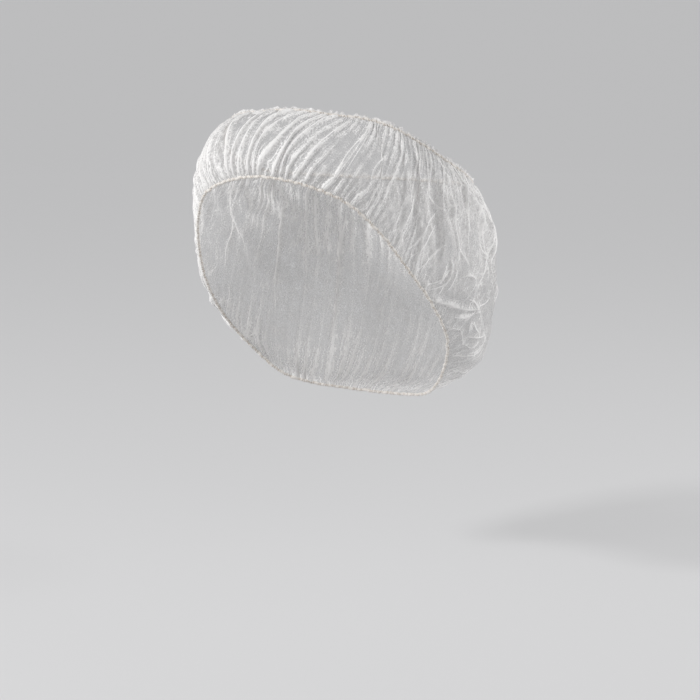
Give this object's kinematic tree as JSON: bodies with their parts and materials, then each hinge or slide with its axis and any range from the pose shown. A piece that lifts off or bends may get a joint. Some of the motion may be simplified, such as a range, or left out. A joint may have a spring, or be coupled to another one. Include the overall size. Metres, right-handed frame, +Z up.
{
  "type": "disposable headband",
  "caption": "Loop of thin gathered non-woven fabric on two elastic edges, shaped as worn: narrow over the brow, wide over the ears and bagged behind the head.",
  "frame": {"origin": "the centre of the wearer's head at the level of its greatest girth, where the band sits", "axes": "+Z up, -Y the way that the wearer looks, +X the wearer's left"},
  "size_m": [0.186, 0.1928, 0.1819],
  "materials": {
    "non_woven": "thin, matt, translucent white spunbond",
    "elastic_edge": "white elastic core whipped over with fine thread"
  },
  "bodies": {
    "root": {"fabric_band": "non_woven", "brow_elastic": "elastic_edge", "crown_elastic": "elastic_edge"}
  },
  "joints": []
}
